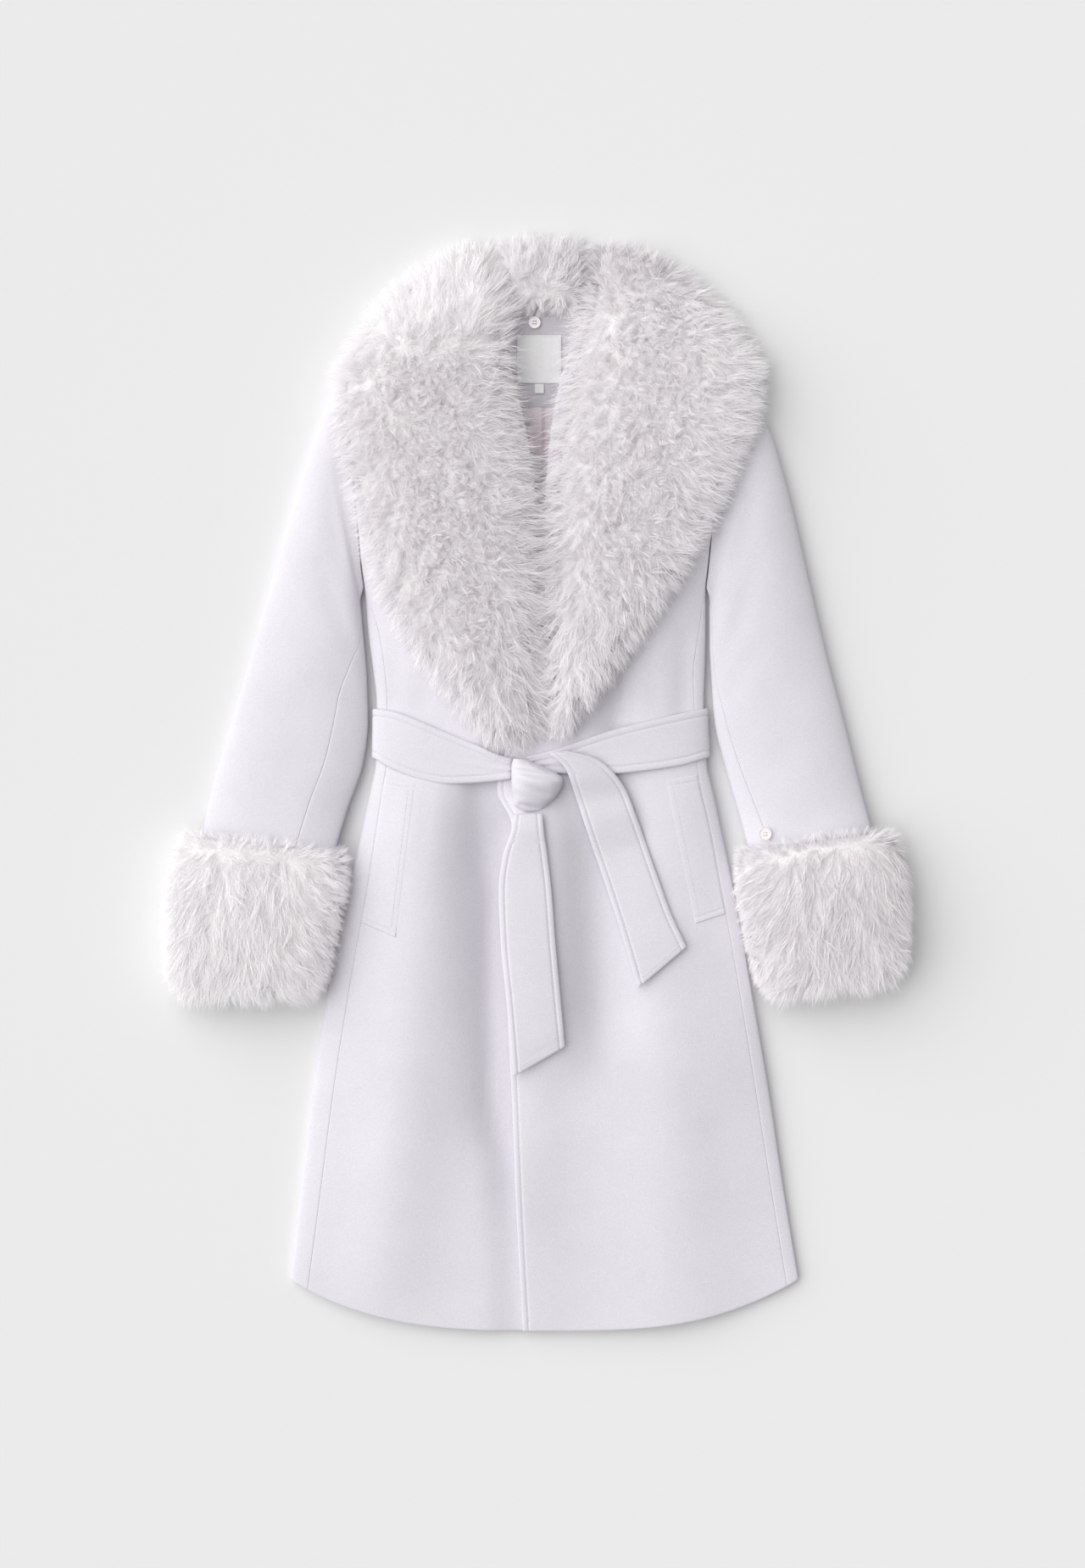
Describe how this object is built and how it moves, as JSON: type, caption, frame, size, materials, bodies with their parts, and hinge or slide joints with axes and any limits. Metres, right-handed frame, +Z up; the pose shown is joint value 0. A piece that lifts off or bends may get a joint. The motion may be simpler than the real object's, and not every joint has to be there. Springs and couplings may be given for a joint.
{
  "type": "fur collar coat",
  "caption": "Wrap coat in pale wool with a long-pile fur shawl collar, fur cuffs, side pockets and a knotted tie belt, laid flat with its front up.",
  "frame": {"origin": "the middle of the coat's box, on the surface that it lies on", "axes": "+X to the wearer's left, +Y from the hem to the collar, +Z up, out of the coat's front"},
  "size_m": [0.7708, 1.1398, 0.0722],
  "materials": {
    "wool": "matt brushed wool",
    "fur": "long soft pile",
    "lining": "smooth satin weave",
    "label": "woven ribbon, bare",
    "button": "satin"
  },
  "bodies": {
    "root": {"back": "wool", "front_right": "wool", "front_left": "wool", "sleeve_top_right": "wool", "sleeve_under_right": "wool", "sleeve_top_left": "wool", "sleeve_under_left": "wool", "belt_front_right": "wool", "belt_front_left": "wool", "belt_back": "wool", "belt_knot": "wool", "belt_tail_long": "wool", "belt_tail_short": "wool", "pocket_welt_right": "wool", "pocket_welt_left": "wool", "neck_facing": "wool", "cuff_right": "fur", "cuff_left": "fur", "collar_back": "fur", "lapel_right": "fur", "lapel_left": "fur", "lining": "lining", "label": "label", "size_tab": "label", "collar_button": "button", "cuff_button": "button"}
  },
  "joints": []
}
